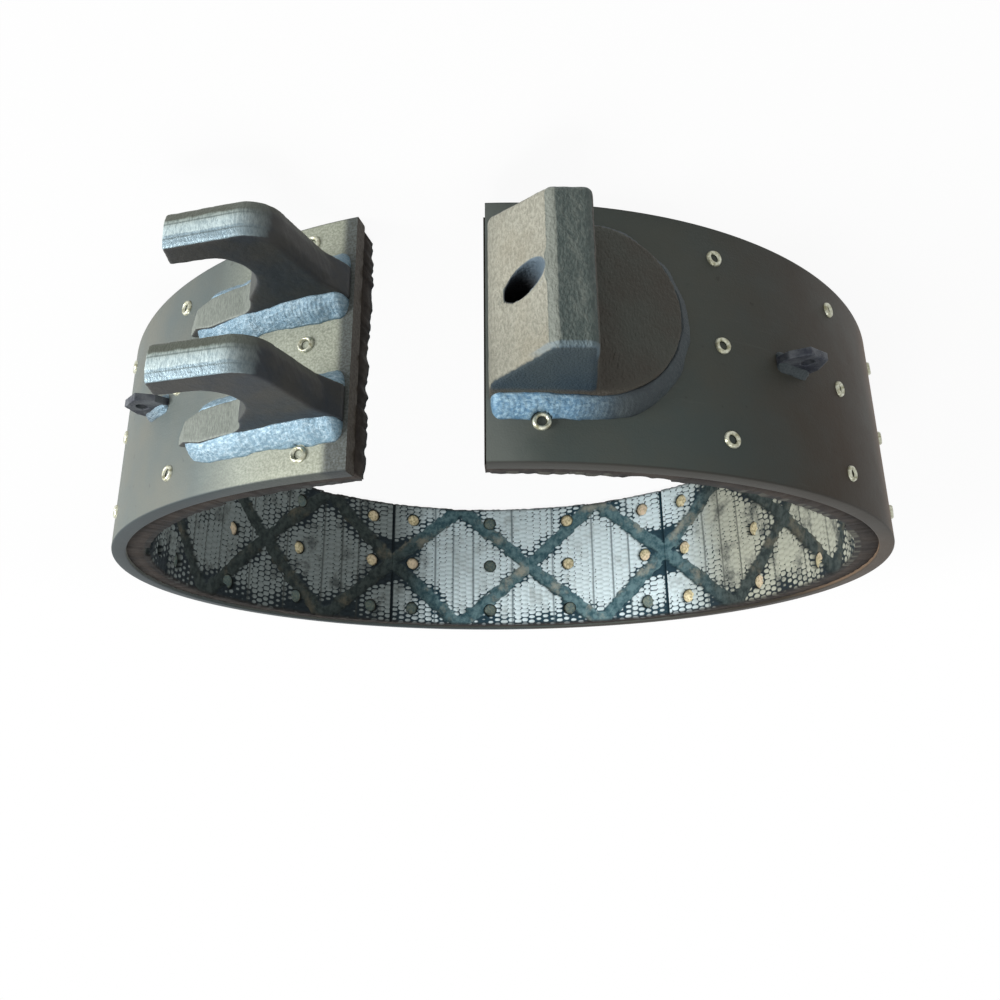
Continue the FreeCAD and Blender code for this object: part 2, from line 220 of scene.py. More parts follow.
def mesh_piece(name, verts, faces, finishes, node, flags=None):
    """Mesh object that rides on the band and stands for its CAD node."""
    mesh = bpy.data.meshes.new(name)
    mesh.from_pydata([tuple(v) for v in verts], [], [tuple(f) for f in faces])
    for finish in finishes:
        mesh.materials.append(finish)
    if flags is not None:
        mesh.polygons.foreach_set("material_index", np.asarray(flags, dtype=np.int32))
    mesh.polygons.foreach_set("use_smooth", np.full(len(mesh.polygons), True))
    mesh.update()
    piece = bpy.data.objects.new(name, mesh)
    bpy.context.scene.collection.objects.link(piece)
    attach(piece, "root")
    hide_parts(node)
    return piece


def swept(rings, closed_ends=True):
    """Vertices and quads of a tube through rings of as many points each."""
    rings = np.asarray(rings)
    count, around = rings.shape[:2]
    faces = []
    for i in range(count - 1):
        a, b = i * around, (i + 1) * around
        for j in range(around):
            k = (j + 1) % around
            faces.append((a + j, a + k, b + k, b + j))
    verts = rings.reshape(-1, 3)
    if closed_ends:
        last = count * around
        faces.append(tuple(range(last, last + around))[::-1])
        faces.append(tuple(range(last + around, last + 2 * around)))
        verts = np.concatenate([verts, rings[0], rings[-1]])
    return verts, faces


def at(radius, angle, z):
    """Points at a distance from the axis, as an array with x, y and z last."""
    radius, angle, z = np.broadcast_arrays(radius, angle, z)
    return np.stack([radius * np.sin(angle), -radius * np.cos(angle), z], axis=-1)


def strap_profile():
    """Round-edged bar section as (radius, z), from the inside face outwards."""
    points = []
    corners = ((STRAP_IN, -1), (STRAP_OUT, -1), (STRAP_OUT, 1), (STRAP_IN, 1))
    for n, (radius, side) in enumerate(corners):
        inward = 1 if radius == STRAP_IN else -1
        centre_r = radius + inward * EDGE_ROUND
        centre_z = side * (STRAP_HALF - EDGE_ROUND)
        first = math.pi + n * math.pi / 2
        for i in range(EDGE_STEPS):
            turn = first + i * math.pi / 2 / (EDGE_STEPS - 1)
            points.append((centre_r + EDGE_ROUND * math.cos(turn),
                           centre_z + EDGE_ROUND * math.sin(turn)))
    return points


strap_rings = []
profile = np.array(strap_profile())
for turn in np.linspace(GAP, 2 * math.pi - GAP, STRAP_STATIONS):
    strap_rings.append(at(profile[:, 0], turn, profile[:, 1]))
verts, faces = swept(strap_rings)
mesh_piece("strap", verts, faces, [strap_finish()], "steel_band")

# Woven lining: five segments of thick yarn set in resin, butted end to end and riveted to
# the strap. Crossed grooves and counterbores are cut into the face, the yarn's knuckles
# stand up pale from the dark resin between them, and the hooks' end is torn ragged.
DRUM = corners_of("lining_3")[0].min()
LINING_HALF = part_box("lining_3")[1][2]
SEGMENTS = 5
SEGMENT = (2 * math.pi - 2 * GAP) / SEGMENTS
JOINT = 0.0004
JOINT_CHAMFER = 0.0026
ANCHOR_LIP = 0.001
GROOVE_HALF = 0.006
GROOVE_DEPTH = 0.003
GROOVE_REACH = 0.27
KNUCKLE_AROUND = 0.0069
KNUCKLE_ACROSS = 0.0046
KNUCKLE_HEIGHT = 0.0009
YARN_SWAY = 0.0006
RAGGED = 0.0012
RAGGED_BY_KNUCKLE = 0.0034
SCORES = (0.131, 0.193, 0.267, 0.413, 0.561, 0.703, 0.776, 0.843)
SCORE_SWAY = 0.0006
SCORE_DEPTH = 0.0010
TEAR = 0.0018
TEAR_FINE = 0.0009
TEAR_SPAN = 0.02
FRAY = 0.0006
FRAY_IN = 0.0003
RECESS = 0.0064
RECESS_DEPTH = 0.006
GRID = 0.0009
ROW = 0.045
LONE_ROW = 0.044
END_ROW = 0.052
COLUMNS = 4
COLUMN_MARGIN = 0.021 / DRUM


def value_noise(x, y, seed):
    """Smooth noise from 0 to 1 on a plane, with a lattice of one unit."""
    ix, iy = np.floor(x), np.floor(y)
    fx, fy = x - ix, y - iy
    fx, fy = fx * fx * (3 - 2 * fx), fy * fy * (3 - 2 * fy)

    def corner(dx, dy):
        wave = np.sin((ix + dx) * 127.1 + (iy + dy) * 311.7 + seed * 74.7) * 43758.5453
        return wave - np.floor(wave)

    low = corner(0, 0) * (1 - fx) + corner(1, 0) * fx
    high = corner(0, 1) * (1 - fx) + corner(1, 1) * fx
    return low * (1 - fy) + high * fy


def soft(x, low, high):
    """0 below low, 1 above high, smooth between; falling where low is above high."""
    t = np.clip((x - low) / (high - low), 0, 1)
    return t * t * (3 - 2 * t)


def rivet_spots(number):
    """Angle and z of each rivet of one lining segment, counted from the anchor's end."""
    pitch = (SEGMENT - 2 * COLUMN_MARGIN) / (COLUMNS - 1)
    spots = []
    for i in range(COLUMNS):
        angle = -GAP - (number * SEGMENT + COLUMN_MARGIN + i * pitch)
        rows = (-ROW, 0.0, ROW)
        if number == 0 and i == 0:
            rows = (LONE_ROW,)
        if number == SEGMENTS - 1 and i == COLUMNS - 1:
            rows = (-END_ROW, 0.0, END_ROW)
        spots += [(angle, z) for z in rows]
    return spots


def lining_finish():
    """Finish whose yarn, grooves and scores are marked by the mesh's own weave colours."""
    f = Finish("woven_lining", 0.2)
    cell = f.start.node("ShaderNodeAttribute", {"attribute_name": "weave"}, out=0)
    yarn, groove, score = cell.parts("ShaderNodeSeparateColor")
    blotch = f.sheet.noise(16.0, 4.0, 0.6)
    grime = f.sheet.noise(45.0, 5.0, 0.65)
    thread = f.sheet.noise(700.0, 3.0, 0.6, (3.0, 1.0, 1.0))
    turn = f.start.math("WRAP", f.angle_deg, 360.0, 0.0) + (blotch - 0.5) * 16.0
    # Painted light: the lining opposite the gap, where light falls in through it, is painted paler and
    # bluer in yarn, resin and grooves, and kept freer of grime.
    middle = turn.near(187.0, 27.0, 18.0)
    right = turn.step(205.0, 240.0)
    pale = right.mix(colour(130, 139, 138), colour(168, 170, 155))
    pale = middle.mix(pale, colour(210, 226, 230))
    pale = (grime.step(0.45, 0.75) * 0.35).mix(pale, colour(148, 150, 140))
    resin = middle.mix(colour(38, 46, 50), colour(42, 64, 74))
    clean = (yarn * (0.8 + thread * 0.4)).step(0.15, 0.85)
    covered = grime.step(0.5, 0.68) * (1.0 - middle * 0.8)
    base = (clean * (1.0 - covered * 0.7)).mix(resin, pale)
    mottle = f.sheet.noise(150.0, 4.0, 0.65)
    slot = middle.mix(mottle.tones(0.35, 0.65, colour(44, 52, 52), colour(70, 78, 76)),
                      mottle.tones(0.35, 0.65, colour(60, 88, 96), colour(102, 130, 135)))
    dust = f.sheet.noise(26.0, 5.0, 0.7).step(0.5, 0.68)
    slot = (dust * 0.8).mix(slot, middle.mix(colour(106, 102, 88), colour(166, 162, 146)))
    base = groove.mix(base, slot)
    base = (score * 0.8).mix(base, middle.mix(colour(58, 62, 60), colour(84, 100, 106)))
    rim = f.z.math("ABSOLUTE", f.z).step(LINING_HALF - 0.0035, LINING_HALF - 0.0003)
    base = (rim * 0.85).mix(base, colour(50, 48, 46))
    wall = f.reach.step(DRUM + 0.0032, DRUM + 0.0042)
    base = wall.mix(base, grime.tones(0.4, 0.6, colour(44, 41, 39), colour(60, 55, 51)))
    height = thread + f.sheet.noise(300.0, 4.0, 0.6) * 0.8
    return f.lay(base, 0.85, 0.0, height, 0.00025)


def segment_grid(number):
    """Arc from the anchor's end and height across of the points of a segment's face.

    Points beside a counterbore's edge are drawn onto it; the third array marks those inside.
    """
    first = -GAP - number * SEGMENT - JOINT / 2 / DRUM
    last = -GAP - (number + 1) * SEGMENT + JOINT / 2 / DRUM
    if number == 0:
        first = -GAP + ANCHOR_LIP / STRAP_IN
    if number == SEGMENTS - 1:
        last = -GAP - SEGMENTS * SEGMENT
    nu = int(abs(last - first) * DRUM / GRID) + 1
    nz = int(2 * LINING_HALF / GRID) + 1
    around, across = np.meshgrid(np.linspace(first, last, nu),
                                 np.linspace(-LINING_HALF, LINING_HALF, nz), indexing="ij")
    arc = -(around + GAP) * DRUM
    bored = np.zeros_like(arc, dtype=bool)
    for angle, z in rivet_spots(number):
        dx, dz = arc + (angle + GAP) * DRUM, across - z
        gap = np.hypot(dx, dz)
        inside = gap < RECESS
        bored |= inside
        edge = np.abs(gap - RECESS) < GRID * 0.8
        target = np.where(inside, RECESS - 0.00002, RECESS + 0.00002)
        pull = np.where(edge, target / np.maximum(gap, 1e-6), 1.0)
        arc = arc + dx * (pull - 1)
        across = across + dz * (pull - 1)
    return arc, across, bored


def knuckle_cells(arc, across):
    """Column and row of the knuckle at each point, and the height of its dome there.

    The dome is 1 at the knuckle's middle, 0 at its edge and below 0 in the resin between.
    """
    lean = YARN_SWAY * (value_noise(arc * 60, across * 60, 2) - 0.5)
    column = np.floor((arc + lean) / KNUCKLE_AROUND)
    u = (arc + lean) / KNUCKLE_AROUND - column - 0.5
    shifted = across / KNUCKLE_ACROSS + 0.5 * (column % 2) + 0.25 * value_noise(column, column, 3)
    row = np.floor(shifted)
    v = shifted - row - 0.5
    u = u + 0.10 * (value_noise(column * 3.1, row * 1.9, 15) - 0.5)
    wide = 0.47 + 0.08 * value_noise(column * 1.7, row * 1.3, 5)
    tall = 0.38 + 0.09 * value_noise(column * 2.1, row * 2.3, 6)
    dome = 1 - np.abs(u / wide) ** 2.4 - np.abs(v / tall) ** 2.0
    return column, row, dome


def groove_marks(arc, across, column, row, number):
    """How far each point is cut by a crossed groove, and its distance from the nearest one."""
    slope = math.atan2(LINING_HALF, DRUM * math.sin(SEGMENT / 4))
    ragged = (value_noise(arc * 420, across * 420, 21) - 0.5) * RAGGED
    ragged = ragged + (value_noise(column * 5.1, row * 3.3, 22) - 0.5) * RAGGED_BY_KNUCKLE
    groove = np.zeros_like(arc)
    close = np.full_like(arc, 1.0)
    for crossing in range(-1, 4):
        centre = (number + crossing / 2) * SEGMENT * DRUM
        offset = DRUM * np.sin(np.clip((arc - centre) / DRUM, -1, 1))
        reach = np.abs(arc - centre) < SEGMENT * DRUM * GROOVE_REACH
        for sign in (1, -1):
            away = np.abs(offset * math.sin(slope) - sign * across * math.cos(slope))
            cut = soft(-(away + ragged), -GROOVE_HALF - 0.0009, -GROOVE_HALF + 0.0005)
            groove = np.maximum(groove, cut * reach)
            close = np.where(reach, np.minimum(close, away), close)
    return groove, close


def score_marks(arc, across, number):
    """How far each point is cut by one of the fine lines scored across the face."""
    score = np.zeros_like(arc)
    for n, share in enumerate(SCORES):
        spot = (number + share) * SEGMENT * DRUM
        spot = spot + (value_noise(across * 30, across * 0 + n, number) - 0.5) * SCORE_SWAY
        score = np.maximum(score, soft(-np.abs(arc - spot), -0.0013, -0.0003))
    return score


def closed_grid(nu, nz):
    """Faces of a grid with a skirt and a back, and the grid's rim that the back repeats."""
    index = np.arange(nu * nz).reshape(nu, nz)
    # The rim runs along the low edge, the last end, the high edge and back along the first end.
    faces = np.stack([index[:-1, :-1], index[:-1, 1:], index[1:, 1:], index[1:, :-1]],
                     axis=-1).reshape(-1, 4)
    rim = np.concatenate([index[:, 0], index[-1, 1:], index[-2::-1, -1], index[0, -2:0:-1]])
    near = nu * nz + np.arange(len(rim))
    skirt = np.stack([rim, np.roll(rim, -1), np.roll(near, -1), near], axis=-1)
    low = near[:nu]
    high = near[nu + nz - 2:2 * nu + nz - 2][::-1]
    behind = np.stack([low[1:-2], low[2:-1], high[2:-1], high[1:-2]], axis=-1)
    last_end = list(near[nu - 2:nu + nz])
    first_end = [low[1], low[0]] + list(near[2 * nu + nz - 3:])[::-1] + [high[1]]
    return faces.tolist() + skirt.tolist() + behind.tolist() + [last_end, first_end], rim


def lining(number, finish):
    """One segment as a fine grid on the drum face, closed to the strap behind it."""
    arc, across, bored = segment_grid(number)
    column, row, dome = knuckle_cells(arc, across)
    groove, close = groove_marks(arc, across, column, row, number)
    score = score_marks(arc, across, number)
    to_joint = np.minimum(np.abs(arc - number * SEGMENT * DRUM),
                          np.abs(arc - (number + 1) * SEGMENT * DRUM))

    # Rubbed knuckles are clean. Soot by the grooves, resin at the joints and grime cake the rest.
    wear = 0.45 + 0.75 * value_noise(arc * 38, across * 38, 12 + number)
    wear = wear - 0.55 * soft(across, 0.028, 0.06) - 0.2 * soft(-across, 0.035, 0.06)
    wear = np.clip(wear, 0, 1)
    near_groove = 1 - soft(close, GROOVE_HALF, GROOVE_HALF + 0.012)
    soot = value_noise(arc * 70, across * 70, 51) * near_groove
    butt = (1 - soft(to_joint, 0.008, 0.028)) * (1 - soft(np.abs(across), 0.014, 0.03))
    caked = 0.42 - 1.4 * wear + 0.5 * (value_noise(column * 2.3, row * 2.9, 8) - 0.4)
    caked = caked + 1.5 * soot + 1.9 * butt + 0.5 * soft(across, 0.03, 0.06) + 0.3 * (number > 2)
    yarn = soft(np.maximum(dome, -1.1), caked - 0.4, caked + 0.3)
    yarn = yarn * soft(to_joint, 0.0008, 0.0022)

    # Depth below the drum's face: yarn, scores, grooves, the joint's chamfer and the bores.
    bump = np.sqrt(np.clip(dome, 0, 1))
    depth = KNUCKLE_HEIGHT * (1 - bump * (0.55 + 0.45 * wear))
    depth = np.maximum(depth, score * SCORE_DEPTH)
    floor_depth = GROOVE_DEPTH - 0.0004 * value_noise(arc * 300, across * 300, 9)
    depth = np.maximum(depth, groove * floor_depth)
    depth = np.maximum(depth, JOINT_CHAMFER * soft(-to_joint, -0.0017, -0.0008))
    depth = np.where(bored, RECESS_DEPTH, depth)

    # The hooks' end is torn, and both edges are frayed.
    turn = -GAP - arc / DRUM
    if number == SEGMENTS - 1:
        tear = (value_noise(across * 190, across * 0, 77) - 0.5) * TEAR
        tear = tear + (value_noise(across * 520, across * 0, 78) - 0.5) * TEAR_FINE
        last = -GAP - SEGMENTS * SEGMENT
        turn = turn - soft(turn, last + TEAR_SPAN, last) * tear / DRUM
    frayed = (value_noise(arc * 350, np.sign(across), 41) - 0.5) * FRAY
    at_rim = np.abs(across) > LINING_HALF - 0.0001
    across = np.where(at_rim, np.sign(across) * (LINING_HALF - FRAY_IN + frayed), across)

    faces, rim = closed_grid(*arc.shape)
    face = at(DRUM + depth, turn, across).reshape(-1, 3)
    back = at(STRAP_IN - 0.00005, turn.reshape(-1)[rim], across.reshape(-1)[rim])
    piece = mesh_piece("lining_face_%d" % (number + 1), np.concatenate([face, back]), faces,
                       [finish], "lining_%d" % (number + 1))
    marks = np.zeros((len(face) + len(back), 4), dtype=np.float32)
    marks[:len(face), 0] = (yarn * (1 - groove) * ~bored).reshape(-1)
    marks[:len(face), 1] = np.maximum(groove, bored).reshape(-1)
    marks[:len(face), 2] = (score * (1 - groove)).reshape(-1)
    marks[:, 3] = 1.0
    layer = piece.data.attributes.new("weave", "FLOAT_COLOR", "POINT")
    layer.data.foreach_set("color", marks.reshape(-1))


woven = lining_finish()
for number in range(SEGMENTS):
    lining(number, woven)

# Rivets: tubular brake rivets of plated brass. Each has a flat head down in its counterbore
# and a tail that was rolled over on the strap into a bright rim; its hole is a painted dark disc of
# shade.
HEAD = 0.00595
HEAD_DROP = 0.0031
RIVET_SIDES = 24
HEAD_PROFILE = ((0.0, 0.0), (0.0046, 0.00005), (0.0055, 0.0003), (HEAD, 0.0009), (HEAD, 0.0028))
TAIL_PROFILE = ((0.0, -0.0002), (0.0018, -0.0001), (0.0021, 0.0003), (0.0024, 0.0011),
                (0.0030, 0.0015), (0.0036, 0.0012), (0.0040, 0.0005), (0.0041, -0.0001))


def turned(profile, angle, z, base, seed):
    """Turned form about a radial axis: profile is (radius, height above the base)."""
    ring = np.linspace(0, 2 * math.pi, RIVET_SIDES, endpoint=False)
    wobble = 1 + 0.02 * np.sin(ring * 2 + seed) + 0.015 * np.sin(ring * 3 + seed * 2.1)
    rows = []
    for radius, height in profile:
        r = radius * (wobble if radius > 0.002 else 1.0)
        lift = height + 0.0001 * np.sin(ring + seed * 1.7) * (radius > 0.002)
        rows.append(at(base + lift, angle + r * np.cos(ring) / base, z + r * np.sin(ring)))
    return rows


def rivet_finish():
    f = Finish("plated_brass", 0.5)
    shade = f.sheet.noise(26.0, 1.0, 0.5)
    dirt = f.sheet.noise(500.0, 4.0, 0.6)
    inside = f.reach.step(DRUM + 0.009, DRUM + 0.005)
    gleam = dirt.tones(0.4, 0.6, colour(216, 206, 170), colour(190, 178, 142))
    tail = dirt.tones(0.35, 0.7, colour(206, 208, 190), colour(140, 138, 110))
    head = shade.step(0.4, 0.6).mix(gleam, colour(214, 196, 170))
    head = (dirt.step(0.45, 0.7) * 0.6).mix(head, colour(128, 119, 92))
    base = inside.mix(tail, head)
    rough = inside * 0.25 + 0.3 + dirt * 0.15
    return f.lay(base, rough, 0.7, dirt, 0.0002)


# Painted shade: dark disc that stands in for the hollow of a rivet's tail.
def hole_shade_finish():
    f = Finish("rivet_hole_painted_shade", 0.1)
    grit = f.sheet.noise(900.0, 3.0, 0.6)
    return f.lay(grit.tones(0.4, 0.7, colour(30, 32, 30), colour(96, 100, 84)), 0.8, 0.2,
                 grit, 0.0002)


def dull_finish():
    f = Finish("dull_rivet", 0.3)
    dirt = f.sheet.noise(500.0, 4.0, 0.6)
    return f.lay(dirt.tones(0.35, 0.7, colour(84, 102, 102), colour(124, 130, 116)), 0.6, 0.2,
                 dirt, 0.0002)


def is_dull(number, n):
    """Whether a head is caked over: one edge's row, one column behind and some by the hooks."""
    edge_row = number >= 2 and n % 3 == 2
    column_behind = number == 2 and n // 3 == 2
    return edge_row or column_behind or (number > 2 and n % 5 == 3)


BRIGHT, HOLE_SHADE, DULL = 0, 1, 2
plated = rivet_finish()
painted_hole_shade = hole_shade_finish()
dulled = dull_finish()
for number in range(SEGMENTS):
    verts, faces, flags = [], [], []
    for n, (angle, z) in enumerate(rivet_spots(number)):
        seed = number * COLUMNS * 3 + n
        for profile, base in ((HEAD_PROFILE, DRUM + HEAD_DROP), (TAIL_PROFILE, STRAP_OUT)):
            more, quads = swept(turned(profile, angle, z, base, seed), closed_ends=False)
            offset = sum(len(v) for v in verts)
            verts.append(more)
            faces += [[offset + k for k in quad] for quad in quads]
            if profile is TAIL_PROFILE:
                inner = 2 * RIVET_SIDES
                flags += [HOLE_SHADE] * inner + [BRIGHT] * (len(quads) - inner)
            else:
                flags += [DULL if is_dull(number, n) else BRIGHT] * len(quads)
    mesh_piece("rivet_set_%d" % (number + 1), np.concatenate(verts), faces,
               [plated, painted_hole_shade, dulled], "rivets_%d" % (number + 1), flags)

# Hooks: two steel castings with a foot on the strap, a post and an arm that curls back over
# a round seat. Their sides keep the dark blue scale, and the outer faces are rubbed bright.
END_SETBACK = 0.0015
CAST_VOXEL = 0.0007
LIP_DRAW = 0.0009


def across_node(node):
    """Middle and half of a CAD node's width."""
    low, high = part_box(node)
    return (low[2] + high[2]) / 2, (high[2] - low[2]) / 2


def cast_skin(name, node, finish, voxel, rounds, grain, seed, bore_turn=None):
    """Rounded, slightly rough skin of a casting, made from its CAD node's form.

    The rounding opens the lip of a bore, which is drawn in again about the turn given.
    """
    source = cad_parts[node]
    rough_cast = bpy.data.objects.new(name + "_form", source.data.copy())
    bpy.context.scene.collection.objects.link(rough_cast)
    skin = rough_cast.modifiers.new("skin", "REMESH")
    skin.mode = "VOXEL"
    skin.voxel_size = voxel
    ease = rough_cast.modifiers.new("ease", "SMOOTH")
    ease.iterations = rounds
    ease.factor = 0.5
    ready = rough_cast.evaluated_get(bpy.context.evaluated_depsgraph_get())
    mesh = bpy.data.meshes.new_from_object(ready)
    count = len(mesh.vertices)
    place = np.empty(count * 3, dtype=np.float32)
    facing = np.empty(count * 3, dtype=np.float32)
    mesh.vertices.foreach_get("co", place)
    mesh.vertex_normals.foreach_get("vector", facing)
    place, facing = place.reshape(-1, 3).astype(float), facing.reshape(-1, 3)
    x, y, z = place.T
    lump = value_noise(x * 160 + z * 90, y * 150 + z * 120, seed)
    pit = value_noise(x * 700 + z * 310, y * 690 - z * 560, seed)
    lift = ((lump - 0.5) * 0.6 + (pit - 0.5) * 0.4) * grain
    place = place + facing * lift[:, None]
    if bore_turn is not None:
        turn = np.arctan2(place[:, 0], -place[:, 1])
        off = (turn - bore_turn) * np.hypot(place[:, 0], place[:, 1])
        gap = np.hypot(off, place[:, 2])
        lip = LIP_DRAW * soft(gap, 0.005, 0.007) * (1 - soft(gap, 0.0085, 0.0105))
        pull = lip / np.maximum(gap, 1e-6)
        place[:, 0] -= off * pull * np.cos(turn)
        place[:, 1] -= off * pull * np.sin(turn)
        place[:, 2] -= place[:, 2] * pull
    mesh.vertices.foreach_set("co", place.reshape(-1).astype(np.float32))
    mesh.materials.clear()
    mesh.materials.append(finish)
    mesh.polygons.foreach_set("material_index", np.zeros(len(mesh.polygons), dtype=np.int32))
    mesh.polygons.foreach_set("use_smooth", np.full(len(mesh.polygons), True))
    piece = bpy.data.objects.new(name, mesh)
    bpy.context.scene.collection.objects.link(piece)
    bpy.data.objects.remove(rough_cast)
    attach(piece, "root")
    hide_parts(node)


def hook_finish(name, middle):
    f = Finish(name, 0.35)
    blotch = f.place.noise(40.0, 4.0, 0.6)
    brush = f.place.noise(1300.0, 3.0, 0.65, (1.0, 1.0, 0.3))
    grain = f.place.noise(900.0, 3.0, 0.6)
    across = f.z - middle
    height = f.reach - STRAP_OUT
    base = blotch.tones(0.35, 0.65, colour(40, 46, 52), colour(54, 54, 52))
    # Painted reflection: faces that point down are tinted olive.
    base = f.side.step(-0.15, -0.45).mix(base, colour(58, 60, 50))
    arm = height.step(0.034, 0.048) * f.angle_deg.step(7.8, 12.5)
    outward = f.out.step(0.55, 0.85)
    low_half = across.step(-0.0045, 0.0015)
    grey = low_half.mix(colour(106, 116, 109), colour(156, 174, 178))
    grey = brush.step(0.36, 0.6).mix(grey, low_half.mix(colour(140, 150, 142), colour(190, 207, 208)))
    lines = across.near(-0.0018, 0.0001, 0.0005) + across.near(0.0046, 0.0001, 0.0004)
    rubbed = outward * arm
    base = rubbed.mix(base, grey)
    # Painted reflection on the rubbed faces: the bevel facing down is tinted olive, the bevel facing
    # up gets a painted blue highlight.
    base = (f.side.step(-0.1, -0.24) * rubbed * 0.9).mix(base, colour(72, 76, 66))
    base = (f.side.step(0.1, 0.24) * rubbed * 0.7).mix(base, colour(86, 108, 122))
    base = (lines * rubbed * 0.55).mix(base, colour(66, 76, 74))
    foot = height.step(0.016, 0.010) * outward
    tread = brush.tones(0.3, 0.7, colour(96, 102, 96), colour(120, 126, 118))
    base = foot.mix(base, tread)
    post = outward * (1.0 - arm) * height.step(0.012, 0.02)
    base = (post * 0.7).mix(base, colour(64, 68, 64))
    rough = 0.55 - rubbed * 0.15 + (grain - 0.5) * 0.2
    metal = 0.1 + rubbed * 0.3
    return f.lay(base, rough, metal, brush * (0.3 + rubbed) + grain * 0.6, 0.0002)


for which, seed in (("upper", 4), ("lower", 9)):
    name, node = "hook_casting_" + which, "hook_" + which
    finish = hook_finish(name, across_node(node)[0])
    cast_skin(name, node, finish, CAST_VOXEL, 9, 0.0003, seed)

# Anchor block: one iron casting with its rounded pad, welded on. The slanted face keeps a
# pale sand-cast skin like orange peel, the flat top is grey-green and bare, and the pad is
# browned by the heat of the weld.
ANCHOR_END = -GAP - END_SETBACK / STRAP_OUT
BORE_TURN = ANCHOR_END - 0.0124 / STRAP_OUT


def block_finish():
    f = Finish("cast_block", 0.35)
    blotch = f.place.noise(30.0, 4.0, 0.6)
    peel = f.place.noise(900.0, 2.0, 0.5, (1.0, 1.0, 0.6))
    grain = f.place.noise(1100.0, 3.0, 0.6)
    height = f.reach - STRAP_OUT
    high = height.step(0.0095, 0.013)
    slanted = f.round.step(0.45, 0.7) * high
    top = f.out.step(0.8, 0.93) * high
    sides = f.side.math("ABSOLUTE", f.side).step(0.45, 0.75) * high
    base = blotch.tones(0.35, 0.7, colour(64, 60, 53), colour(70, 72, 66))
    base = sides.mix(base, blotch.tones(0.3, 0.7, colour(38, 52, 61), colour(51, 62, 66)))
    cream = peel.tones(0.3, 0.7, colour(127, 126, 114), colour(152, 151, 138))
    # Painted shade: the slanted face darkens towards high z and towards the strap.
    shade = f.z.step(0.004, 0.036) * 0.5 + height.step(0.022, 0.014) * 0.5
    cream = shade.mix(cream, peel.tones(0.3, 0.7, colour(104, 104, 93), colour(124, 124, 112)))
    cream = (blotch.step(0.5, 0.75) * 0.4).mix(cream, colour(132, 126, 108))
    base = slanted.mix(base, cream)
    base = (top * 0.85).mix(base, peel.tones(0.35, 0.7, colour(68, 80, 78), colour(87, 97, 93)))
    # Painted highlight along the block's ridge.
    painted_ridge_highlight = height.step(0.038, 0.042) * f.round.near(0.42, 0.2, 0.2) * f.out.step(0.5, 0.8)
    base = (painted_ridge_highlight * 0.7).mix(base, colour(132, 136, 127))
    # Painted highlight: a pale blue band on faces tilted upwards near the block's top.
    skirt = height.step(0.034, 0.041) * f.side.near(0.5, 0.2, 0.2)
    base = (skirt * 0.5).mix(base, colour(104, 122, 132))
    # Painted shade and light in the bore: dark deep down, lighter blue towards its mouth.
    off = (f.angle - BORE_TURN) * f.reach
    inside = f.start.math("SQRT", off * off + f.z * f.z).step(0.0076, 0.0070)
    base = inside.mix(base, height.tones(0.02, 0.04, colour(34, 36, 38), colour(84, 98, 108)))
    rough = 0.6 + (blotch - 0.5) * 0.15
    return f.lay(base, rough, 0.12, peel + grain * 0.25, 0.0008)


cast_skin("anchor_casting", "anchor_block", block_finish(), 0.0009, 4, 0.00035, 14,
          BORE_TURN)

# Ears: two small plates with one hole each, flame cut and welded on edge to the strap.
# They are nearly black with scale, and the cut edges and the hole's rim are rubbed.


def ear_finish():
    f = Finish("cut_plate", 0.4)
    blotch = f.place.noise(120.0, 4.0, 0.6)
    grain = f.place.noise(900.0, 3.0, 0.6)
    base = blotch.tones(0.35, 0.7, colour(44, 48, 58), colour(92, 96, 100))
    return f.lay(base, 0.5 + (blotch - 0.5) * 0.2, 0.3, grain, 0.0003)


plate = ear_finish()
for side, seed in (("anchor_side", 21), ("hook_side", 25)):
    cast_skin("ear_plate_" + side, "ear_" + side, plate, 0.00035, 2, 0.00015, seed)

# Weld beads: electric-arc fillets laid by hand along the feet of the welded pieces. Each pass
# froze in crescent ripples. Their pale blue and white streaks are painted reflection, left off the far
# runs by the pad.
RIPPLE = 0.0021
BEAD_STEP = 0.0005
BEAD_POINTS = 15
BEAD_ROOT = 0.0012
BEAD_START = 0.004
BEAD_INSET = 0.0005
RIVET_CLEAR = 0.0047
HOOK_END = GAP + END_SETBACK / STRAP_OUT
HOOK_FOOT = 0.097
FOOT_TAPER = 0.024
HOOK_LEG = 0.0082
PAD_LEG = 0.0083
PAD_LENGTH = 0.082
PAD_TURNS = 25
EAR_LEG = 0.0034
EAR_HALF_LENGTH = 0.0108
EAR_HALF_THICK = 0.002


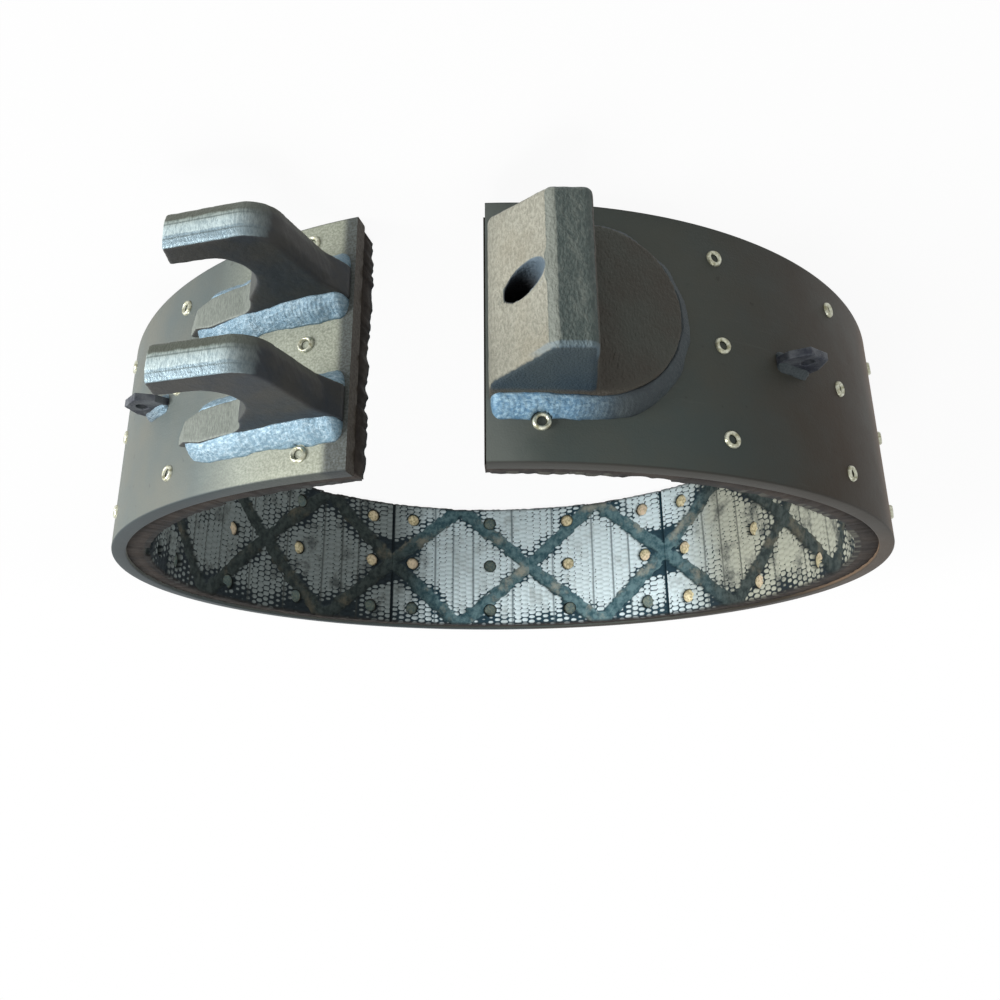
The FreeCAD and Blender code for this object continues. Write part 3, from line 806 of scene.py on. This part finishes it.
def weld_finish():
    f = Finish("weld_bead", 0.5)
    blotch = f.place.noise(70.0, 4.0, 0.6)
    grain = f.place.noise(1500.0, 3.0, 0.6)
    streak = f.place.noise(420.0, 4.0, 0.7, (1.0, 1.0, 2.4))
    hooks_side = f.angle_deg.step(-1.0, 1.0)
    # Painted reflection: pale blue and white streaks stand in for the overhead light's reflection.
    painted_blue_reflection = hooks_side.mix(colour(88, 124, 150), colour(112, 140, 156))
    painted_white_glint = hooks_side.mix(colour(150, 180, 196), colour(172, 194, 205))
    base = (streak * 0.7 + blotch * 0.3).step(0.42, 0.66).mix(painted_blue_reflection, painted_white_glint)
    base = (grain.step(0.5, 0.75) * 0.4).mix(base, colour(66, 88, 106))
    upper_run = f.angle_deg.step(-8.0, -9.0) * f.z.step(0.01, -0.02)
    far = f.start.math("MAXIMUM", f.angle_deg.step(-13.0, -20.0), upper_run)
    base = (far * 0.92).mix(base, blotch.tones(0.35, 0.65, colour(42, 44, 41), colour(54, 58, 56)))
    base = (hooks_side * f.z.step(0.012, -0.004) * 0.4).mix(base, colour(70, 94, 108))
    ear_side = f.angle_deg.step(30.0, 40.0)
    base = (ear_side * 0.7).mix(base, colour(78, 82, 84))
    height = f.reach - STRAP_OUT
    # Painted shade: a dark line on the bead's top edge where it meets the pad.
    painted_seam_shade = height.step(0.0066, 0.0082) * f.angle_deg.step(-11.0, -15.0) * f.z.step(-0.01, 0.02)
    base = (painted_seam_shade * 0.8).mix(base, colour(28, 36, 42))
    rough = 0.5 + (blotch - 0.5) * 0.3 + far * 0.15
    return f.lay(base, rough, 0.4 - far * 0.35, grain + streak, 0.0003)


def bead(name, node, end, back, runs, leg, seed, finish):
    """Fillet beads along runs of stations (s, z, spread along, spread across, leg share).

    s is the arc from the strap's end, and the bead is pressed flat where a rivet's tail stands.
    """
    verts, faces, offset = [], [], 0
    for r, stations in enumerate(runs):
        table = np.array(stations, dtype=float)
        span = np.hypot(np.diff(table[:, 0]), np.diff(table[:, 1]))
        length = np.concatenate([[0], np.cumsum(span)])
        where = np.arange(0, length[-1], BEAD_STEP)
        s, z, ds, dz, share = [np.interp(where, length, table[:, k]) for k in range(5)]
        norm = np.hypot(ds, dz)
        ds, dz = ds / norm, dz / norm
        to_end = np.clip(np.minimum(where, length[-1] - where) / BEAD_START, 0, 1)
        rounded = np.sqrt(1 - (1 - to_end) ** 2)
        wander = value_noise(where * 140, where * 0 + r, seed)
        size = leg * share * (0.9 + 0.2 * wander) * (0.25 + 0.75 * rounded)
        pace = 0.8 + 0.4 * value_noise(where * 200, where * 0, seed + 3)
        phase = np.cumsum(BEAD_STEP / RIPPLE * pace)
        rings = []
        across = np.linspace(0, 1, BEAD_POINTS)
        for j in range(len(where)):
            out_share = size[j] * across
            low_share = size[j] * (1 - across)
            crescent = phase[j] + 0.9 * (2 * across - 1) ** 2
            ripple = np.abs(np.sin(math.pi * crescent)) ** 0.6
            swell = np.sin(math.pi * across)
            rise = 0.08 * size[j] * swell + 0.0003 * (ripple - 0.6) * swell ** 0.5
            rise = rise + 0.0004 * (value_noise(across * 9 + where[j] * 500, across * 6, seed) - 0.5)
            inner = [-BEAD_ROOT, -BEAD_ROOT, size[j] * 0.8]
            spread = np.concatenate([low_share + rise * 0.7, inner])
            lift = np.concatenate([out_share + rise * 0.7, inner[::-1]])
            angle = end + back * (s[j] + spread * ds[j]) / STRAP_OUT
            rings.append(at(STRAP_OUT + lift, angle, z[j] + spread * dz[j]))
        more, quads = swept(rings)
        verts.append(more)
        faces += [[offset + k for k in quad] for quad in quads]
        offset += len(more)
    verts = np.concatenate(verts)
    turn = np.arctan2(verts[:, 0], -verts[:, 1])
    reach = np.hypot(verts[:, 0], verts[:, 1])
    for angle, z in rivet_spots(0) + rivet_spots(SEGMENTS - 1):
        angle = (angle + math.pi) % (2 * math.pi) - math.pi
        near = np.hypot((turn - angle) * STRAP_OUT, verts[:, 2] - z) < RIVET_CLEAR
        verts[near, :2] *= (np.minimum(reach[near], STRAP_OUT - 0.0002) / reach[near])[:, None]
    mesh_piece(name, verts, faces, [finish], node)


weld = weld_finish()
taper = HOOK_FOOT - FOOT_TAPER
for which in ("upper", "lower"):
    middle, half = across_node("hook_" + which)
    runs = []
    for side in (1, -1):
        runs.append([(0.0008, middle + side * half, 0, side, 1.1),
                     (taper * 0.5, middle + side * half, 0, side, 1.0),
                     (taper, middle + side * half, 0.1, side, 0.9),
                     (taper + FOOT_TAPER * 0.6, middle + side * half * 0.55, 0.35, side, 0.7)])
    bead("hook_weld_" + which, "weld_hook_" + which, HOOK_END, 1, runs, HOOK_LEG, 51, weld)

pad_middle, pad_radius = across_node("anchor_block")
pad_low, pad_high = pad_middle - pad_radius, pad_middle + pad_radius
pad_straight = PAD_LENGTH - pad_radius
stations = [(BEAD_INSET, pad_high, 0, 1, 1.0), (pad_straight * 0.5, pad_high, 0, 1, 1.0)]
for turn in np.linspace(0, math.pi, PAD_TURNS):
    stations.append((pad_straight + pad_radius * math.sin(turn),
                     pad_middle + pad_radius * math.cos(turn),
                     math.sin(turn), math.cos(turn), 0.95))
stations += [(pad_straight * 0.5, pad_low, 0, -1, 1.0), (BEAD_INSET, pad_low, 0, -1, 1.0)]
bead("block_weld", "weld_anchor_block", ANCHOR_END, -1, [stations], PAD_LEG, 61, weld)

for side, degrees, z in (("anchor_side", -41.5, 0.0), ("hook_side", 36.0, 0.005)):
    runs = [[(-EAR_HALF_LENGTH, z + face * EAR_HALF_THICK, 0, face, 0.9),
             (EAR_HALF_LENGTH, z + face * EAR_HALF_THICK, 0, face, 1.0)] for face in (1, -1)]
    bead("ear_weld_" + side, "weld_ear_" + side, math.radians(degrees), 1, runs, EAR_LEG, 71, weld)

# Floor and light: the band stands on its edge on a pale plain floor. One broad lamp stands
# beside the hooks, a weak one hangs overhead and the room gives a low even light.
FLOOR = -STRAP_HALF
FLOOR_HALF = 9


def seen_directly(tree):
    """1 for rays from the camera, a mirror or clear glass, and 0 for the light itself."""
    path = Wire(tree).node("ShaderNodeLightPath").socket.node
    camera_ray, glossy_ray, clear_ray = [Wire(tree, path.outputs["Is %s Ray" % kind])
                                         for kind in ("Camera", "Glossy", "Transmission")]
    return camera_ray + glossy_ray + clear_ray


floor_mesh = bpy.data.meshes.new("floor")
floor_mesh.from_pydata([(-FLOOR_HALF, -FLOOR_HALF, FLOOR), (FLOOR_HALF, -FLOOR_HALF, FLOOR),
                        (FLOOR_HALF, FLOOR_HALF, FLOOR), (-FLOOR_HALF, FLOOR_HALF, FLOOR)], [],
                       [(0, 1, 2, 3)])
floor = bpy.data.objects.new("floor", floor_mesh)
bpy.context.scene.collection.objects.link(floor)
pale = bpy.data.materials.new("pale_floor")
pale.use_nodes = True
tree = pale.node_tree
start = Wire(tree)
paint = tree.nodes["Principled BSDF"]
paint.inputs["Base Color"].default_value = (0.85, 0.85, 0.85, 1.0)
paint.inputs["Roughness"].default_value = 0.9
paint.inputs["Specular IOR Level"].default_value = 0.0
glow = start.node("ShaderNodeEmission", {}, {"Color": (1.0, 1.0, 1.0, 1.0), "Strength": 1.0})
x, y, z = start.node("ShaderNodeTexCoord", out=3).parts()
far = start.math("SQRT", x * x + y * y).step(0.35, 1.1)
share = seen_directly(tree) * (0.93 + far * 0.07)
painted = Wire(tree, paint.outputs[0])
blend = start.node("ShaderNodeMixShader", {}, {0: share, 1: painted, 2: glow})
tree.links.new(blend.socket, tree.nodes["Material Output"].inputs[0])
floor_mesh.materials.append(pale)

world = bpy.data.worlds.new("room")
bpy.context.scene.world = world
world.use_nodes = True
tree = world.node_tree
strength = seen_directly(tree) * 0.62 + 0.38
tree.nodes["Background"].inputs["Color"].default_value = (1.0, 1.0, 1.0, 1.0)
tree.links.new(strength.socket, tree.nodes["Background"].inputs["Strength"])


def lamp(name, place, size, power):
    """Round lamp that shines at the middle of the band."""
    light = bpy.data.lights.new(name, "AREA")
    light.shape = "DISK"
    light.size = size
    light.energy = power
    holder = bpy.data.objects.new(name, light)
    bpy.context.scene.collection.objects.link(holder)
    holder.location = place
    holder.rotation_euler = (-Vector(place)).to_track_quat("-Z", "Y").to_euler()


lamp("side_lamp", (1.75, -1.15, 0.35), 1.1, 56.0)
lamp("overhead_lamp", (0.1, -0.25, 1.6), 0.9, 11.0)

# Camera: above the band and close in front of its gap, held upside down as in the photograph.
# Its place, aim and lens are fitted to the outlines seen there.
EYE = Vector((-0.07362, -0.54020, 0.16802))
SIGHT = Vector((0.15448, 0.94567, -0.28608)).normalized()
RIGHT = Vector((-0.98682, 0.16183, 0.00208))
UP = RIGHT.cross(SIGHT).normalized()
RIGHT = SIGHT.cross(UP)
camera_data = bpy.data.cameras.new("camera")
camera_data.sensor_width = 36.0
camera_data.lens = 27.96
camera_data.shift_x = 0.0221
camera_data.shift_y = 0.00625
camera = bpy.data.objects.new("camera", camera_data)
bpy.context.scene.collection.objects.link(camera)
turn = Matrix((RIGHT, UP, -SIGHT)).transposed().to_4x4()
camera.matrix_world = Matrix.Translation(EYE) @ turn
bpy.context.scene.camera = camera
bpy.context.scene.view_settings.view_transform = "Standard"
